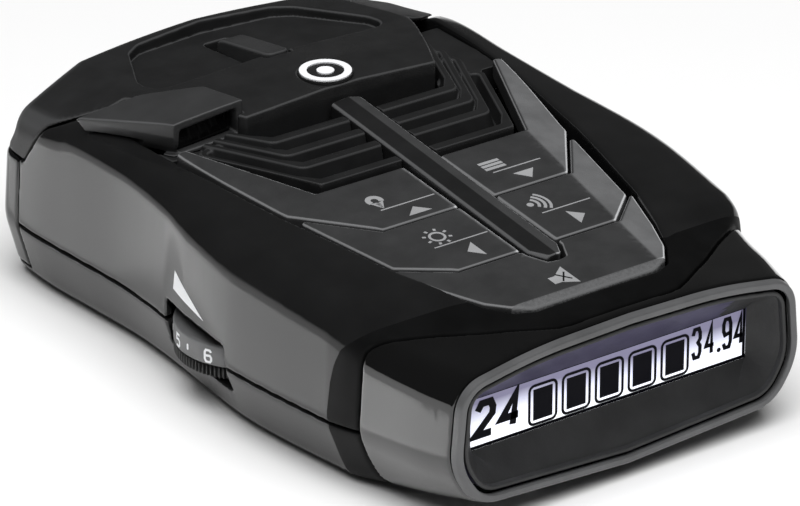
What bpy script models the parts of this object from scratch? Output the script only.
"""Dashboard radar detector built as separate closed solids with its real moving pieces.

Millimetres while shaping, metres in the scene. The display end is -Y, the windshield end is +Y,
+X is the right-hand side seen from the display, Z=0 is the underside.
"""

import math

import bmesh
import bpy
from mathutils import Matrix, Vector

MM = 0.001

# overall shape
Y_FRONT = -57.0
Y_END = 57.0
END_BOW_HIGH = 0.0040
END_BOW_LOW = 0.0023
WALL = 1.8
GAP = 0.15
Z_PARTING = 10.5
SEAM_Y_CENTRE = -54.0
SEAM_Y_SIDE = -39.1

# y, bottom half width, widest half width, shoulder half width, shoulder z, top edge half width, top edge z,
# crown z, underside z, underside z at its edge
BODY = (
    (-57.0, 27.0, 31.3, 30.1, 23.3, 17.0, 25.6, 26.1, 2.2, 3.7),
    (-49.5, 29.6, 33.4, 32.2, 23.7, 13.2, 26.8, 27.0, 1.0, 2.2),
    (-39.1, 31.8, 35.5, 34.6, 24.3, 18.9, 28.0, 28.4, 0.2, 0.8),
    (-36.4, 32.6, 36.5, 36.2, 26.9, 20.1, 28.3, 28.8, 0.0, 0.5),
    (-33.3, 33.2, 37.2, 36.9, 27.9, 21.1, 28.6, 29.2, 0.0, 0.2),
    (-20.0, 34.8, 38.8, 38.4, 29.1, 24.6, 29.7, 31.0, 0.0, 0.0),
    (-11.0, 35.4, 39.5, 39.1, 29.3, 26.8, 30.3, 32.0, 0.0, 0.0),
    (0.0, 34.9, 38.6, 38.2, 29.8, 28.8, 30.9, 32.8, 0.0, 0.0),
    (8.0, 34.3, 37.4, 37.0, 30.3, 29.9, 31.4, 33.2, 0.0, 0.0),
    (20.0, 33.8, 36.8, 36.4, 30.6, 30.9, 31.8, 33.8, 0.0, 0.0),
    (34.0, 34.6, 37.6, 36.9, 30.4, 31.4, 32.2, 34.2, 0.0, 0.0),
    (45.0, 35.2, 38.1, 37.0, 28.9, 26.0, 32.2, 33.5, 0.0, 0.0),
    (57.0, 34.6, 37.8, 36.2, 27.6, 24.0, 31.2, 32.2, 0.0, 0.0),
)
# y, top edge half width, top edge z, crown z of the raised cover
COVER = (
    (-57.0, 18.0, 34.6, 35.6),
    (14.0, 18.0, 35.3, 36.4),
    (20.0, 20.5, 35.5, 36.9),
    (27.0, 23.5, 34.9, 35.9),
    (34.0, 25.5, 33.9, 34.9),
    (45.0, 24.0, 33.0, 33.7),
    (57.0, 22.0, 31.9, 32.7),
)
CORNER_RADII = (3.8, 9.0, 4.8, 1.6)
ARC_STEPS = 4
STATIONS = (
    -57.0, -56.6, -55.6, -53.0, -49.5, -44.5, -39.1, -36.4, -33.3, -27.0, -20.0, -15.0, -11.0, -6.0, 0.0,
    4.0, 8.0, 14.0, 20.0, 27.0, 34.0, 40.0, 45.0,
)
END_ROUNDING = ((3.4, 0.0), (2.0, 0.32), (0.95, 0.95), (0.3, 1.9), (0.0, 3.3))

# key panel
PANEL_Z = 29.9
PANEL_SLOPE = 0.087
KEY_THICK = 3.2
KEY_GAP = 0.2
KEY_TRAVEL = 0.7
HOLE_EDGE = (
    (0.0, -48.7),
    (10.8, -48.7),
    (13.9, -47.3),
    (16.7, -43.6),
    (19.3, -37.6),
    (22.5, -28.6),
    (27.2, -8.0),
    (30.3, 13.0),
    (31.1, 22.0),
    (31.4, 33.9),
)
SPINE_HALF = 2.7

# louvres: crest half width at the corner, corner y, arm end y, crest z, arm end z
LOUVRES = (
    (17.1, 8.1, 28.6, 33.4, 32.0),
    (17.3, 4.2, 25.1, 32.8, 32.0),
    (17.3, 0.0, 21.6, 32.4, 31.9),
    (17.9, -5.4, 15.5, 31.9, 31.6),
)
ARM_OUT = 0.445
GRILLE_FLOOR_Z = 28.6

# raised cover
TONGUE = ((17.6, 14.4), (25.3, 30.6), (26.8, 34.2), (45.0, 34.2), (45.0, 60.0))
COVER_SEAM = ((30.0, 33.8), (33.0, 33.0), (41.5, 28.4), (46.3, 21.5), (60.0, 21.5))
DISH = ((0.0, 32.6), (19.6, 32.6), (21.6, 34.6), (21.4, 38.0), (15.4, 49.6), (12.4, 51.8), (0.0, 53.2))
DISH_FLOOR_NEAR = 32.6
DISH_FLOOR_FAR = 30.6
BUTTON_HALF = 2.1
BUTTON_NEAR = 31.9
BUTTON_FAR = 43.4
BUTTON_TRAVEL = 2.6

# thumbwheel
WHEEL_X = -28.2
WHEEL_Y = -1.2
WHEEL_R = 11.2
WHEEL_Z0 = 6.5
WHEEL_Z1 = 13.2
SLOT_Y0 = -10.8
SLOT_Y1 = 7.2
SLOT_Z0 = 6.0
SLOT_Z1 = 13.9

# display
LCD_HALF = 25.1
LCD_Z0 = 9.6
LCD_Z1 = 18.5
LCD_Y = -51.6


def clear_scene():
    for item in list(bpy.data.objects):
        bpy.data.objects.remove(item, do_unlink=True)


def smooth_at(rows, y, column):
    """Catmull-Rom value of a column at y."""
    count = len(rows)
    if y <= rows[0][0]:
        return rows[0][column]
    if y >= rows[-1][0]:
        return rows[-1][column]
    i = max(k for k in range(count) if rows[k][0] <= y)
    i = min(i, count - 2)
    y0, y1 = rows[i][0], rows[i + 1][0]
    v0, v1 = rows[i][column], rows[i + 1][column]
    before = rows[max(i - 1, 0)]
    after = rows[min(i + 2, count - 1)]
    m0 = (v1 - before[column]) / (y1 - before[0])
    m1 = (after[column] - v0) / (after[0] - y0)
    span = y1 - y0
    t = (y - y0) / span
    a = 2 * t**3 - 3 * t**2 + 1
    b = t**3 - 2 * t**2 + t
    c = -2 * t**3 + 3 * t**2
    d = t**3 - t**2
    return a * v0 + b * span * m0 + c * v1 + d * span * m1


def corners_at(y, raised):
    wb, wp, ws, zs, wr, zr, zc, zb, ze = (smooth_at(BODY, y, k) for k in range(1, 10))
    zb, ze = max(zb, 0.0), max(ze, 0.0)
    if raised:
        wr, zr, zc = (smooth_at(COVER, y, k) for k in range(1, 4))
    return [(0.0, zb), (wb, ze), (wp, Z_PARTING), (ws, zs), (wr, zr), (0.0, zc)]


def inset_corners(corners, d):
    """The open half outline moved inward by d, its ends kept on the centre line."""
    lines = []
    for (x0, z0), (x1, z1) in zip(corners, corners[1:]):
        length = math.hypot(x1 - x0, z1 - z0)
        nx, nz = -(z1 - z0) / length, (x1 - x0) / length
        lines.append((nx, nz, nx * x0 + nz * z0 + d))
    ends = [(1.0, 0.0, 0.0)]
    result = []
    for (a1, b1, c1), (a2, b2, c2) in zip(ends + lines, lines + ends):
        det = a1 * b2 - a2 * b1
        result.append(((c1 * b2 - c2 * b1) / det, (a1 * c2 - a2 * c1) / det))
    return result


def fillet(p0, p1, p2, radius, steps):
    """Points of an arc that rounds the corner p1."""
    a = Vector(p0) - Vector(p1)
    b = Vector(p2) - Vector(p1)
    reach = min(a.length, b.length) * 0.48
    a.normalize()
    b.normalize()
    half = math.acos(max(-1.0, min(1.0, a.dot(b)))) / 2
    cut = min(radius / math.tan(half), reach)
    radius = cut * math.tan(half)
    centre = Vector(p1) + (a + b).normalized() * (radius / math.sin(half))
    start = Vector(p1) + a * cut - centre
    end = Vector(p1) + b * cut - centre
    turn = math.pi - 2 * half
    sign = 1.0 if start.x * end.y - start.y * end.x > 0 else -1.0
    points = []
    for k in range(steps + 1):
        angle = sign * turn * k / steps
        c, s = math.cos(angle), math.sin(angle)
        points.append((centre.x + c * start.x - s * start.y, centre.y + s * start.x + c * start.y))
    return points


def section(y, d, raised=False, steps=ARC_STEPS):
    """Closed x,z outline of the body at y, moved inward by d."""
    corners = inset_corners(corners_at(y, raised), d)
    half = [corners[0]]
    for k in range(1, 5):
        radius = max(CORNER_RADII[k - 1] - d, 0.6)
        half += fillet(corners[k - 1], corners[k], corners[k + 1], radius, steps)
    half.append(corners[-1])
    other = [(-x, z) for x, z in reversed(half[1:-1])]
    return half + other


def ease(t):
    t = max(0.0, min(1.0, t))
    return t * t * (3 - 2 * t)


def bowed(y, x, z):
    """The windshield end curves back towards its corners, more so high up."""
    bow = END_BOW_LOW + (END_BOW_HIGH - END_BOW_LOW) * ease((z - 20.0) / 5.5)
    return y - bow * x * x * ease((y - 30.0) / (Y_END - 30.0))


def place(obj):
    bpy.context.scene.collection.objects.link(obj)
    return obj


def mesh_object(name, verts, faces):
    mesh = bpy.data.meshes.new(name)
    mesh.from_pydata([(x * MM, y * MM, z * MM) for x, y, z in verts], [], faces)
    mesh.validate()
    bm = bmesh.new()
    bm.from_mesh(mesh)
    bmesh.ops.recalc_face_normals(bm, faces=bm.faces)
    bm.to_mesh(mesh)
    bm.free()
    return place(bpy.data.objects.new(name, mesh))


def loft(name, rings, end_cap=None):
    """A closed solid through rings that share a point count."""
    n = len(rings[0])
    verts = [p for ring in rings for p in ring]
    faces = []
    for r in range(len(rings) - 1):
        for k in range(n):
            a, b = r * n + k, r * n + (k + 1) % n
            faces.append((a, b, b + n, a + n))
    faces.append(tuple(range(n - 1, -1, -1)))
    last = (len(rings) - 1) * n
    if end_cap:
        end_cap(verts, faces, last, n)
    else:
        faces.append(tuple(last + k for k in range(n)))
    return mesh_object(name, verts, faces)


def bridge(verts, faces, low, high):
    """Triangles between two rows of points that run from right to left."""
    i = j = 0
    while i < len(low) - 1 or j < len(high) - 1:
        step_low = j == len(high) - 1
        if not step_low and i < len(low) - 1:
            step_low = verts[low[i + 1]][0] > verts[high[j + 1]][0]
        if step_low:
            faces.append((low[i], low[i + 1], high[j]))
            i += 1
        else:
            faces.append((low[i], high[j + 1], high[j]))
            j += 1


def bowed_cap(y):
    """Closes the windshield end with a surface that keeps its bow across the width."""

    def build(verts, faces, last, n):
        half = n // 2
        rows = [[last + 1, last, last + n - 1]]
        for k in range(2, half - 1):
            x, _, z = verts[last + k]
            row = [last + k]
            for j in range(1, 8):
                row.append(len(verts))
                px = x * (1 - j / 4)
                verts.append((px, bowed(y, px, z), z))
            rows.append(row + [last + n - k])
        rows.append([last + half - 1, last + half, last + half + 1])
        for low, high in zip(rows, rows[1:]):
            bridge(verts, faces, low, high)

    return build


def body_solid(name, d, y_from, raised=False):
    """The outer body, or the same shape moved inward by d on every side."""
    rings = []
    for y in STATIONS:
        if y >= y_from - 1e-6:
            rings.append([(x, bowed(y, x, z), z) for x, z in section(y, d, raised)])
    if y_from not in STATIONS:
        rings.insert(0, [(x, y_from, z) for x, z in section(y_from, d, raised)])
    for back, inward in END_ROUNDING:
        y = Y_END - d - back
        rings.append([(x, bowed(y, x, z), z) for x, z in section(y, d + inward, raised)])
    return loft(name, rings, bowed_cap(Y_END - d))


def prism(name, outline, z0, z1):
    """A vertical prism; z0 and z1 are numbers or functions of x, y."""
    low = z0 if callable(z0) else (lambda x, y: z0)
    high = z1 if callable(z1) else (lambda x, y: z1)
    return loft(name, [[(x, y, low(x, y)) for x, y in outline], [(x, y, high(x, y)) for x, y in outline]])


def prism_x(name, outline, x0, x1):
    """A prism along X from a y,z outline."""
    return loft(name, [[(x, y, z) for y, z in outline] for x in (x0, x1)])


def prism_y(name, outline, y0, y1):
    """A prism along Y from an x,z outline."""
    return loft(name, [[(x, y, z) for x, z in outline] for y in (y0, y1)])


def box(name, x0, x1, y0, y1, z0, z1):
    return prism(name, [(x0, y0), (x1, y0), (x1, y1), (x0, y1)], z0, z1)


def circle(cx, cy, r, n):
    angles = [2 * math.pi * k / n for k in range(n)]
    return [(cx + r * math.cos(a), cy + r * math.sin(a)) for a in angles]


def post(name, cx, cy, r, z0, z1, n=24):
    return prism(name, circle(cx, cy, r, n), z0, z1)


def round_rect(cx, cy, hx, hy, r, n=3):
    points = []
    for sx, sy, start in ((1, 1, 0), (-1, 1, 90), (-1, -1, 180), (1, -1, 270)):
        for k in range(n + 1):
            angle = math.radians(start + 90 * k / n)
            mx, my = cx + sx * (hx - r), cy + sy * (hy - r)
            points.append((mx + r * math.cos(angle), my + r * math.sin(angle)))
    return points


def boolean(obj, tool, operation, keep_tool=False):
    mod = obj.modifiers.new("work", "BOOLEAN")
    mod.operation = operation
    mod.solver = "MANIFOLD"
    mod.object = tool
    bpy.context.view_layer.update()
    graph = bpy.context.evaluated_depsgraph_get()
    mesh = bpy.data.meshes.new_from_object(obj.evaluated_get(graph))
    obj.modifiers.clear()
    obj.data = mesh
    if not keep_tool:
        bpy.data.objects.remove(tool, do_unlink=True)
    return obj


def cut(obj, *tools):
    for tool in tools:
        boolean(obj, tool, "DIFFERENCE")
    return obj


def join(obj, *tools):
    for tool in tools:
        boolean(obj, tool, "UNION")
    return obj


def clip(obj, *tools):
    for tool in tools:
        boolean(obj, tool, "INTERSECT")
    return obj


def mirrored(points):
    """Both halves of a right-hand outline that starts or ends on the centre line."""
    left = [(-x, y) for x, y in reversed(points) if x > 1e-6]
    return list(points) + left


def grown(outline, d):
    """A closed outline moved outward by d; negative moves it inward."""
    area = sum(a[0] * b[1] - b[0] * a[1] for a, b in zip(outline, outline[1:] + outline[:1]))
    sign = 1.0 if area > 0 else -1.0
    lines = []
    for (x0, y0), (x1, y1) in zip(outline, outline[1:] + outline[:1]):
        length = math.hypot(x1 - x0, y1 - y0)
        nx, ny = sign * (y1 - y0) / length, -sign * (x1 - x0) / length
        lines.append((nx, ny, nx * x0 + ny * y0 + d))
    result = []
    for k, (a2, b2, c2) in enumerate(lines):
        a1, b1, c1 = lines[k - 1]
        det = a1 * b2 - a2 * b1
        if abs(det) < 1e-4:
            x, y = outline[k]
            result.append((x + a2 * d, y + b2 * d))
            continue
        result.append(((c1 * b2 - c2 * b1) / det, (a1 * c2 - a2 * c1) / det))
    return result


def seam_outline(shift):
    """Plan region in front of the curved seam between display shroud and case."""
    c, s = SEAM_Y_CENTRE + shift, SEAM_Y_SIDE + shift
    right = [(0.0, c), (10.3, c), (13.2, c + 1.3), (20.5, c + 6.0)]
    right += [(26.5, c + 10.4), (30.2, s - 2.1), (33.6, s), (45.0, s)]
    return mirrored([(45.0, -70.0)] + right[::-1])


def hole_outline(d):
    return grown(mirrored(list(HOLE_EDGE)), d)


def panel_z(y):
    return PANEL_Z + PANEL_SLOPE * (y + 20.0)


def cover_region(name, d):
    """Where the raised cover lives: its plan outline above its seam; d grows it."""
    plan = prism(name, grown(mirrored(list(TONGUE)), d), 20.0, 45.0)
    seam = [(y, z - d) for y, z in COVER_SEAM]
    under = prism_x("under", [(33.0, 0.0), (70.0, 0.0)] + [(70.0, 21.5 - d)] + seam[:0:-1], -50, 50)
    low = box("low", -50, 50, 0, 33.2, 0, 29.6 - d)
    cut(plan, under, low)
    return join(plan, box("sill", -24.0, 24.0, 33.1, 44.0, 29.6 - d, 33.4))


def lens_region(name, d):
    return box(name, -50, 50, 47.6 - d, 70, 2.4 - d, 21.35 + d)


def screw_sites():
    return [(sx * 25.5, y) for y in (-28.0, 37.5) for sx in (-1, 1)]


def wheel_well():
    """Room for the thumbwheel behind the slot."""
    return post("well", WHEEL_X, WHEEL_Y, WHEEL_R + 0.5, SLOT_Z0 + 0.1, SLOT_Z1 - 0.1, 64)


def make_upper_case():
    shell = body_solid("upper_case", 0.0, -54.6)
    hollow = body_solid("hollow", WALL, -54.6)
    cut(hollow, prism("rim", hole_outline(1.3), 22.5, 50.0))
    roof = [(31.3, 44.0), (29.0, 50.0), (0.0, 60.0)]
    cut(shell, hollow, prism("hole", mirrored(list(HOLE_EDGE[:-1]) + roof), 21.0, 50.0))
    cut(shell, prism("seam", seam_outline(GAP), -10, 50))
    cut(shell, box("floor", -60, 60, -70, 70, -10, Z_PARTING + GAP))
    cut(shell, cover_region("cover", GAP), lens_region("lens", GAP))
    cut(shell, box("slot", -50, -33, SLOT_Y0, SLOT_Y1, 0, SLOT_Z1), wheel_well())
    cut(shell, box("jack", 33, 50, 20.6, 30.2, 0, 18.4))
    cut(shell, prism_x("audio", circle(12.0, 14.6, 2.9, 20), 33, 50))
    return shell


def make_lower_case():
    shell = body_solid("lower_case", 0.0, -54.6)
    cut(shell, body_solid("hollow", WALL, -54.6))
    for x, y in screw_sites():
        join(shell, post("boss", x, y, 4.2, 0.9, 9.8))
    cut(shell, prism("seam", seam_outline(GAP), -10, 50), box("lid", -60, 60, -70, 70, Z_PARTING - GAP, 50))
    cut(shell, lens_region("lens", GAP))
    cut(shell, box("slot", -50, -33, SLOT_Y0, SLOT_Y1, SLOT_Z0, 30), wheel_well())
    cut(shell, box("jack", 33, 50, 20.6, 30.2, 9.0, 30))
    for x, y in screw_sites():
        cut(shell, post("bore", x, y, 1.7, -1, 12), post("head", x, y, 3.2, -1, 2.7))
    cut(shell, prism("label", round_rect(0, 8, 19, 15, 2), -1, 0.4))
    return shell


def dish_floor(x, y):
    t = (y - 32.6) / (53.2 - 32.6)
    return DISH_FLOOR_NEAR + (DISH_FLOOR_FAR - DISH_FLOOR_NEAR) * t


def make_top_cover():
    shell = clip(body_solid("top_cover", 0.0, 8.0, True), cover_region("region", -GAP))
    hollow = body_solid("hollow", WALL, 8.0, True)
    inner = [(16.0, 16.2), (23.6, 31.0), (25.0, 33.4), (28.0, 36.2), (45.0, 36.2), (45.0, 70.0)]
    clip(hollow, prism("inner", mirrored(inner), 10, 50))
    cut(hollow, prism("dish", grown(mirrored(list(DISH)), 1.5), lambda x, y: dish_floor(x, y) - 1.6, 50))
    cut(hollow, box("sleeve", -12.6, 12.6, 43.5, 70, 22.0, 29.6))
    cut(shell, hollow, prism("dish", mirrored(list(DISH)), dish_floor, 50))
    cut(shell, box("pocket", -11, 11, 45.2, 70, 23.4, 28.0))
    slot = prism("slot", round_rect(0, 38.4, 2.5, 7.9, 1.2), 24, 50)
    cut(shell, slot, post("seat", 0, 18.9, 4.4, 36.2, 50, 28))
    cut(shell, hood_block("hood", GAP))
    return shell


def make_bracket_release():
    profile = [
        (BUTTON_NEAR, 31.0),
        (BUTTON_FAR, 30.2),
        (BUTTON_FAR, 32.0),
        (BUTTON_FAR - 1.4, 33.9),
        (BUTTON_FAR - 2.6, 34.2),
        (BUTTON_NEAR + 1.0, 34.9),
        (BUTTON_NEAR, 34.2),
    ]
    top = prism_x("bracket_release", profile, -BUTTON_HALF, BUTTON_HALF)
    stem = box("stem", -BUTTON_HALF + 0.3, BUTTON_HALF - 0.3, 33.0, 40.0, 27.9 + 1.0, 31.6)
    return join(top, stem, box("catch", -4.6, 4.6, 34.0, 37.2, 26.9 + 1.0, 28.9 + 0.2))


def hood_corners(d):
    """Plan and height corners of the hood over the rearward laser sensor."""
    return {
        "tip": (-36.4 - d, 32.4 + d, 33.6),
        "front": (-29.0 - d, 16.9 - d, 36.3 + d),
        "inner": (-17.1 + d, 16.1 - d, 37.7 + d),
        "back": (-18.6 + d, 24.4 + d, 37.2 + d),
        "ridge": (-27.2, 28.6 + d, 36.6 + d),
    }


def hood_block(name, d, floor=30.9):
    c = hood_corners(d)
    order = ("front", "inner", "back", "ridge", "tip")
    top = [c[k] for k in order]
    low = [(x, y, floor - d) for x, y, z in top]
    return hull(name, top + low)


def hull(name, points):
    bm = bmesh.new()
    for x, y, z in points:
        bm.verts.new((x * MM, y * MM, z * MM))
    made = bmesh.ops.convex_hull(bm, input=bm.verts)
    junk = [g for g in made["geom_interior"] + made["geom_unused"] if isinstance(g, bmesh.types.BMVert)]
    bmesh.ops.delete(bm, geom=junk, context="VERTS")
    bmesh.ops.recalc_face_normals(bm, faces=bm.faces)
    mesh = bpy.data.meshes.new(name)
    bm.to_mesh(mesh)
    bm.free()
    return place(bpy.data.objects.new(name, mesh))


def make_laser_hood():
    """A wedge that rises from the left rail to the cover, open towards the display end."""
    hood = hood_block("laser_hood", 0.0)
    window = prism_y("window", [(-28.2, 31.4), (-17.9, 32.2), (-18.2, 36.3), (-27.8, 35.0)], 10, 20.5)
    cut(hood, window, box("chip", -26.5, -19.5, 18, 25.4, 31.9, 34.8))
    body = body_solid("body", -2 * GAP, -20.0)
    cut(body, prism("well", hole_outline(-0.35), 20, 60))
    cut(hood, body)
    return hood


def make_laser_window():
    outline = [(-27.8, 31.8), (-18.4, 32.5), (-18.6, 35.9), (-27.4, 34.7)]
    return prism_y("rear_laser_window", outline, 17.7, 18.9)


def make_front_lens():
    lens = clip(body_solid("front_lens", 0.0, 34.0), lens_region("region", -GAP))
    return cut(lens, body_solid("hollow", WALL, 34.0))


def rib(index, width):
    """A louvre rib that runs across and then drops slightly along the rails."""
    half, y, end, z, end_z = LOUVRES[index]
    run = (end - y) * ARM_OUT
    out = [(0.0, y), (half, y), (half + run, end)]
    back = [(half + run - 0.9, end + 0.4), (half - 0.5, y + width), (0.0, y + width)]

    def crest(px, py):
        return z + (end_z - z) * max(0.0, py - y - width) / (end - y)

    return prism("rib", mirrored(out + back), GRILLE_FLOOR_Z - 0.7, crest)


def ledge(name, side):
    """The shelf between the rib ends and the rail."""
    steps = [LOUVRES[k] for k in (3, 2, 1, 0)]
    inner = [(half + (end - y) * ARM_OUT - 2.2, end - 0.8) for half, y, end, z, end_z in steps]
    outline = inner + [(inner[-1][0] + 1.0, 32.6), (34.0, 32.6), (34.0, inner[0][1] + 0.8)]
    shelf = prism(name, [(side * x, y) for x, y in outline], GRILLE_FLOOR_Z - 0.7, 31.2)
    return shelf


def spine_profile(d):
    w = SPINE_HALF + d
    return [(-w, 0.0), (w, 0.0), (w - 0.1, 2.9), (w - 0.5, 3.4 + d), (-w + 0.5, 3.4 + d), (-w + 0.1, 2.9)]


def spine_solid(name, d):
    """The ridge bar that divides the keys and crosses the louvres."""
    rings = []
    stations = ((13.8 + d, 34.3, 1.0), (8.0, 33.7, 1.0), (-35.6, 28.9, 1.0), (-38.4 - d, 28.6, 0.45))
    for y, z, share in stations:
        rings.append([(x * share, y, z - 3.4 - d + h) for x, h in spine_profile(d)])
    return loft(name, rings)


def make_grille():
    plate = mirrored([(0.0, -5.2), (17.7, -5.2), (26.9, 15.4), (34.0, 15.4), (34.0, 33.0), (0.0, 33.0)])
    grille = prism("speaker_grille", plate, GRILLE_FLOOR_Z - 1.3, GRILLE_FLOOR_Z)
    for k in range(4):
        join(grille, rib(k, 1.3))
    join(grille, ledge("ledge", -1), ledge("ledge", 1))
    clip(grille, prism("hole", hole_outline(-2 * GAP), 20, 50))
    for k in range(3):
        half, y = LOUVRES[k][:2]
        for sx in (-1, 1):
            x0, x1 = sorted((sx * 4.2, sx * (half - 1.8)))
            cut(grille, box("vent", x0, x1, y - 1.9, y - 0.6, 20, GRILLE_FLOOR_Z + 0.2))
    cut(grille, spine_solid("spine", 2 * GAP), cover_region("cover", 2 * GAP))
    cut(grille, hood_block("hood", 2 * GAP, 27.0))
    return grille


def make_spine():
    spine = spine_solid("centre_spine", 0.0)
    return cut(spine, cover_region("cover", GAP * 2))


CREASE = ((19.4, -5.8), (17.0, -19.8), (14.4, -34.8), (12.4, -47.2))


def key_cells():
    """Right-hand plan outlines of the keys before the gaps are taken off."""
    inner = SPINE_HALF + 0.3
    far = [(inner, -19.8), (17.0, -19.8), (25.9, -7.8), (31.0, 14.9)]
    far += [(28.3, 14.9), (19.1, -5.75), (inner, -5.75)]
    near = [(inner, -34.8), (14.4, -34.8), (21.5, -28.2), (25.9, -7.8), (17.0, -19.8), (inner, -19.8)]
    return far, near


def crease_at(y):
    """Half width where a key folds down towards the rail."""
    if y > CREASE[0][1]:
        return CREASE[0][0] + (y - CREASE[0][1]) * 0.44
    for (x0, y0), (x1, y1) in zip(CREASE, CREASE[1:]):
        if y1 <= y <= y0:
            return x0 + (x1 - x0) * (y - y0) / (y1 - y0)
    return CREASE[-1][0]


def key_top(x, y):
    """Height of the faceted key surface."""
    fall = max(0.0, abs(x) - crease_at(y)) * 0.17
    bevel = max(0.0, -44.6 - y) * 0.35
    return panel_z(y) - fall - bevel


def key_solid(name, outline):
    """A key cap whose top follows the creased panel."""
    outline = grown(outline, -KEY_GAP)
    cap = prism(name, outline, lambda x, y: panel_z(y) - KEY_THICK, 45)
    clip(cap, prism("hole", hole_outline(-0.35), 0, 60))
    rings = []
    ys = (22.0, 12.0, 2.0, -5.8, -13.0, -19.8, -27.0, -34.8, -40.0, -44.6, -47.2, -52.0)
    for y in ys:
        crease = crease_at(y)
        xs = (-40, -crease, crease, 40)
        row = [(x, y, key_top(x, y)) for x in xs]
        rings.append(row + [(40, y, 60), (-40, y, 60)])
    return cut(cap, loft("above", rings))


def make_keys():
    far, near = key_cells()
    for place_name, outline in (("far", far), ("near", near)):
        key_solid("key_right_" + place_name, outline)
        key_solid("key_left_" + place_name, [(-x, y) for x, y in reversed(outline)])
    inner = SPINE_HALF + 0.3
    edge = [(0.0, -39.3), (1.5, -39.0), (inner, -36.0), (inner, -34.8)]
    edge += [(14.4, -34.8), (21.5, -28.2), (25.0, -27.6)]
    key_solid("key_mute", mirrored(edge + [(25.0, -40.0), (18.0, -48.4), (0.0, -48.4)]))


def make_membrane():
    outline = grown(mirrored([(0.0, -46.6), (9.0, -46.6), (17.0, -38.0), (24.6, -9.4), (0.0, -9.4)]), 0)
    sheet = prism("keypad_membrane", outline, lambda x, y: panel_z(y) - 5.4, lambda x, y: panel_z(y) - 4.3)
    return sheet


def make_key_board():
    outline = mirrored([(0.0, -43.0), (14.0, -43.0), (22.0, -10.0), (0.0, -10.0)])
    board = prism("key_board", outline, lambda x, y: panel_z(y) - 9.6, lambda x, y: panel_z(y) - 8.2)
    return board


SWITCHES = (
    ("switch_left_far", -12.0, -14.0),
    ("switch_right_far", 12.0, -14.0),
    ("switch_left_near", -10.5, -27.0),
    ("switch_right_near", 10.5, -27.0),
    ("switch_mute", 0.0, -41.2),
)


def make_switch(name, x, y):
    base = round_rect(x, y, 2.3, 1.6, 0.5)
    switch = prism(name, base, lambda a, b: panel_z(b) - 7.9, lambda a, b: panel_z(b) - 6.4)
    low, high = (lambda a, b: panel_z(b) - 6.8), (lambda a, b: panel_z(b) - 5.8)
    return join(switch, post("stem", x, y, 1.1, low, high, 16))


def front_section(inward):
    return section(Y_FRONT, inward)


def make_bezel_ring():
    rings = []
    for y, d in ((-55.9, 0.1), (-56.6, 0.1), (-56.9, 0.35), (-57.0, 0.7)):
        rings.append([(x, y, z) for x, z in section(y, d)])
    ring = loft("bezel_ring", rings)
    return cut(ring, prism_y("opening", front_section(1.4), -70, -40))


def make_shroud():
    shroud = clip(body_solid("display_shroud", 0.0, -55.6), prism("seam", seam_outline(-GAP), -10, 50))
    rear = body_solid("hollow", WALL, -51.0)
    return cut(shroud, rear, prism_y("opening", front_section(1.4), -70, -50.5))


def lcd_point(x, z, hx, z0, z1):
    """The point of the window outline in the same direction as x, z."""
    cz, hz = (z0 + z1) / 2, (z1 - z0) / 2
    dx, dz = x, z - 12.6
    scale = max(abs(dx) / 28.5, abs(dz) / 9.6)
    return (max(-hx, min(hx, dx / scale * hx / 28.5)), cz + max(-hz, min(hz, dz / scale * hz / 9.6)))


def make_visor():
    visor = prism_y("display_visor", front_section(1.75), -56.6, -51.9)
    front = front_section(2.6)
    rear = [lcd_point(x, z, LCD_HALF, LCD_Z0, LCD_Z1) for x, z in front]
    mouth = [(x, -58.0, z) for x, z in front]
    lip = [(x, -56.2, z) for x, z in front]
    throat = [(x, -51.9, z) for x, z in rear]
    beyond = [(x, -50.0, z) for x, z in rear]
    return cut(visor, loft("funnel", [mouth, lip, throat, beyond]))


def make_display():
    box("lcd_panel", -26.2, 26.2, LCD_Y, LCD_Y + 1.8, 8.6, 19.6)
    box("lcd_backlight", -26.2, 26.2, LCD_Y + 2.1, LCD_Y + 4.6, 8.2, 19.8)
    box("display_board", -27.5, 27.5, LCD_Y + 4.9, LCD_Y + 6.3, 4.0, 20.0)


def make_wheel():
    """Thumbwheel with a smooth numbered band above a knurled band."""
    n = 40
    rings = []
    for z, r in ((8.0, WHEEL_R), (12.3, WHEEL_R), (WHEEL_Z1, WHEEL_R - 0.4)):
        rings.append([(WHEEL_X + x, WHEEL_Y + y, z) for x, y in circle(0, 0, r, n * 2)])
    wheel = loft("volume_wheel", rings)
    teeth = []
    for k in range(n * 2):
        r = WHEEL_R if k % 2 else WHEEL_R - 0.7
        angle = math.pi * k / n
        teeth.append((WHEEL_X + r * math.cos(angle), WHEEL_Y + r * math.sin(angle)))
    join(wheel, prism("teeth", teeth, WHEEL_Z0, 8.3))
    return cut(wheel, post("bore", WHEEL_X, WHEEL_Y, 1.56, 0, 20, 32))


def make_pot():
    pot = prism("volume_pot", round_rect(WHEEL_X + 0.2, WHEEL_Y, 5.2, 5.2, 0.8), 16.9, 20.4)
    return join(pot, post("shaft", WHEEL_X, WHEEL_Y, 1.5, 8.0, 17.5, 32))


def make_boards():
    outline = [(-30, -36), (30, -36), (30, 30.5), (-30, 30.5)]
    board = prism("main_board", outline, 14.9, 16.5)
    cut(board, post("hole", WHEEL_X, WHEEL_Y, 2.4, 0, 30), box("bay", 23.6, 40, 8.0, 40, 0, 30))
    for x, y in screw_sites():
        if y < 0:
            cut(board, post("hole", x, y, 3.4, 0, 30))
    box("rf_board", -4.0, 22.0, 14.5, 30.0, 7.2, 8.6)
    return board


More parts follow.
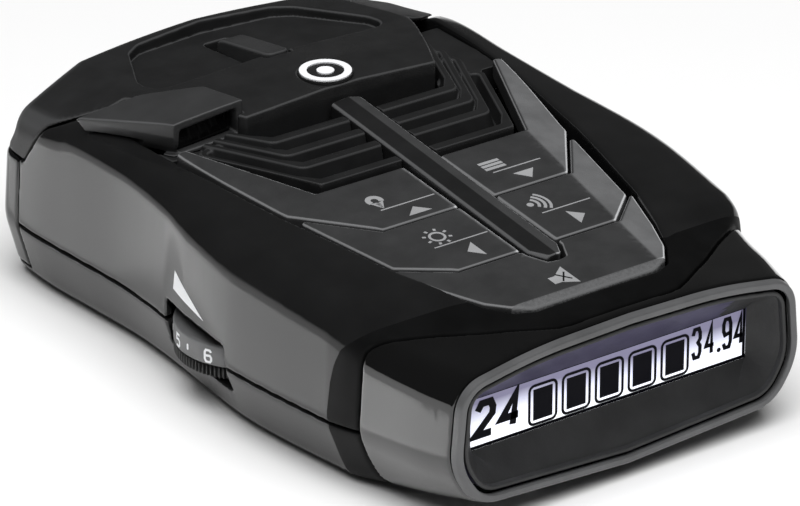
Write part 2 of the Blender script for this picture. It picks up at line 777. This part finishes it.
def make_horn():
    """A flared metal waveguide that opens towards the windshield."""
    rings = []
    for y, hx, z0, z1 in ((20.0, 6.0, 8.9, 13.9), (31.0, 6.0, 8.9, 13.9), (51.0, 13.5, 4.2, 20.4)):
        rings.append([(9 - hx, y, z0), (9 + hx, y, z0), (9 + hx, y, z1), (9 - hx, y, z1)])
    horn = loft("horn_antenna", rings)
    inner = []
    for y, hx, z0, z1 in ((21.2, 4.8, 10.1, 12.7), (31.2, 4.8, 10.1, 12.7), (52.5, 12.7, 5.0, 19.9)):
        inner.append([(9 - hx, y, z0), (9 + hx, y, z0), (9 + hx, y, z1), (9 - hx, y, z1)])
    return cut(horn, loft("bore", inner))


def make_speaker():
    ring = post("speaker_frame", 0, 5.0, 12.4, 22.2, 25.6, 40)
    cut(ring, post("inner", 0, 5.0, 11.0, 23.2, 30, 40), post("port", 0, 5.0, 8.6, 20, 24, 32))
    cone = loft("speaker_cone", [
        [(x, y, 24.9) for x, y in circle(0, 5.0, 10.6, 36)],
        [(x, y, 24.2) for x, y in circle(0, 5.0, 10.6, 36)],
        [(x, y, 22.6) for x, y in circle(0, 5.0, 4.6, 36)],
        [(x, y, 21.4) for x, y in circle(0, 5.0, 4.6, 36)],
    ])
    inner = loft("inner", [
        [(x, y, 26.0) for x, y in circle(0, 5.0, 9.8, 36)],
        [(x, y, 24.7) for x, y in circle(0, 5.0, 9.8, 36)],
        [(x, y, 23.3) for x, y in circle(0, 5.0, 4.0, 36)],
    ])
    cut(cone, inner)
    magnet = post("speaker_magnet", 0, 5.0, 7.2, 17.0, 21.9, 32)
    cut(magnet, post("gap", 0, 5.0, 5.2, 18.4, 30, 32))
    join(magnet, post("pole", 0, 5.0, 3.8, 17.6, 21.0, 24))
    return ring, cone, magnet


def make_sensors():
    front = box("front_laser_sensor", -20.5, -11.5, 40.0, 47.0, 6.0, 14.0)
    join(front, prism_y("lens", circle(-16.0, 10.0, 3.2, 24), 46.5, 49.2))
    rear = box("rear_laser_sensor", -26.0, -20.0, 19.4, 21.6, 32.2, 34.5)
    return front, rear


def make_jacks():
    power = box("power_jack", 24.2, 35.4, 20.9, 29.9, 9.6, 18.0)
    cut(power, box("well", 26.0, 40, 22.0, 28.8, 10.6, 16.6))
    audio = box("audio_jack", 24.8, 33.8, 8.8, 15.2, 16.9 - 5.4, 14.6 + 3.2)
    join(audio, prism_x("barrel", circle(12.0, 14.6, 2.5, 20), 33.0, 35.4))
    cut(audio, prism_x("bore", circle(12.0, 14.6, 1.8, 20), 26.0, 40.0))
    return power, audio


def make_screws():
    for k, (x, y) in enumerate(screw_sites(), 1):
        screw = post(f"case_screw_{k}", x, y, 2.8, 0.7, 2.4)
        join(screw, post("shank", x, y, 1.3, 2.0, 9.4, 16))
        cut(screw, box("cross", x - 1.5, x + 1.5, y - 0.3, y + 0.3, 0, 1.6))
        cut(screw, box("cross", x - 0.3, x + 0.3, y - 1.5, y + 1.5, 0, 1.6))


def make_small_parts():
    prism("rating_label", round_rect(0, 8, 18.6, 14.6, 1.8), 0.1, 0.3)
    post("emblem", 0, 18.9, 4.1, 36.45, 37.2, 28)


# name, linear colour, metallic, roughness
FINISHES = {
    "matte_black": ((0.030, 0.031, 0.033), 0.0, 0.55),
    "gloss_black": ((0.006, 0.006, 0.007), 0.0, 0.12),
    "grey_key": ((0.045, 0.046, 0.048), 0.0, 0.62),
    "dark_louvre": ((0.020, 0.021, 0.024), 0.0, 0.5),
    "satin_grey": ((0.16, 0.16, 0.165), 0.0, 0.4),
    "white_screen": ((0.80, 0.82, 0.86), 0.0, 0.2),
    "green_board": ((0.012, 0.10, 0.045), 0.0, 0.4),
    "bright_metal": ((0.60, 0.60, 0.60), 1.0, 0.3),
    "dark_rubber": ((0.022, 0.022, 0.022), 0.0, 0.8),
    "paper_grey": ((0.50, 0.50, 0.50), 0.0, 0.6),
    "dark_window": ((0.010, 0.005, 0.006), 0.0, 0.08),
    "paper_cone": ((0.04, 0.038, 0.035), 0.0, 0.85),
}

WEARS = {
    "upper_case": "gloss_black",
    "lower_case": "gloss_black",
    "display_shroud": "gloss_black",
    "front_lens": "dark_window",
    "rear_laser_window": "dark_window",
    "top_cover": "matte_black",
    "laser_hood": "matte_black",
    "bracket_release": "matte_black",
    "emblem": "satin_grey",
    "bezel_ring": "satin_grey",
    "display_visor": "dark_rubber",
    "lcd_panel": "white_screen",
    "lcd_backlight": "white_screen",
    "display_board": "green_board",
    "main_board": "green_board",
    "key_board": "green_board",
    "rf_board": "green_board",
    "horn_antenna": "bright_metal",
    "speaker_magnet": "bright_metal",
    "speaker_frame": "bright_metal",
    "speaker_cone": "paper_cone",
    "keypad_membrane": "dark_rubber",
    "rating_label": "paper_grey",
    "speaker_grille": "dark_louvre",
    "centre_spine": "dark_louvre",
    "volume_wheel": "dark_rubber",
    "volume_pot": "matte_black",
    "power_jack": "matte_black",
    "audio_jack": "matte_black",
    "front_laser_sensor": "dark_window",
    "rear_laser_sensor": "dark_window",
}

# where the moving pieces turn or slide
PIVOTS = {
    "volume_wheel": (WHEEL_X, WHEEL_Y, 9.8),
    "key_right_far": (12.0, -13.0, 29.0),
    "key_left_far": (-12.0, -13.0, 29.0),
    "key_right_near": (11.0, -27.0, 28.0),
    "key_left_near": (-11.0, -27.0, 28.0),
    "key_mute": (0.0, -43.0, 27.0),
    "bracket_release": (0.0, 37.6, 33.0),
    "speaker_cone": (0.0, 5.0, 23.0),
}


def material(name, finish):
    colour, metallic, roughness = FINISHES[finish]
    made = bpy.data.materials.new(name)
    made.use_nodes = True
    shader = made.node_tree.nodes["Principled BSDF"]
    shader.inputs["Base Color"].default_value = (*colour, 1.0)
    shader.inputs["Metallic"].default_value = metallic
    shader.inputs["Roughness"].default_value = roughness
    return made


def finish_of(name):
    if name.startswith("key_"):
        return WEARS.get(name, "grey_key")
    if name.startswith("case_screw"):
        return "bright_metal"
    if name.startswith("switch_"):
        return "matte_black"
    return WEARS[name]


def dress(obj):
    """Own material, smooth round faces with crisp edges, origin on the moving axis."""
    obj.data.materials.clear()
    obj.data.materials.append(material(obj.name, finish_of(obj.name)))
    obj.data.shade_smooth()
    obj.data.set_sharp_from_angle(angle=math.radians(32.0))
    if obj.name in PIVOTS:
        pivot = Vector(PIVOTS[obj.name]) * MM
        obj.data.transform(Matrix.Translation(-pivot))
        obj.location = pivot


def main():
    clear_scene()
    make_upper_case()
    make_lower_case()
    make_top_cover()
    make_bracket_release()
    make_laser_hood()
    make_laser_window()
    make_front_lens()
    make_grille()
    make_spine()
    make_keys()
    make_membrane()
    make_key_board()
    for name, x, y in SWITCHES:
        make_switch(name, x, y)
    make_bezel_ring()
    make_shroud()
    make_visor()
    make_display()
    make_wheel()
    make_pot()
    make_boards()
    make_horn()
    make_speaker()
    make_sensors()
    make_jacks()
    make_screws()
    make_small_parts()
    for obj in bpy.data.objects:
        dress(obj)


main()
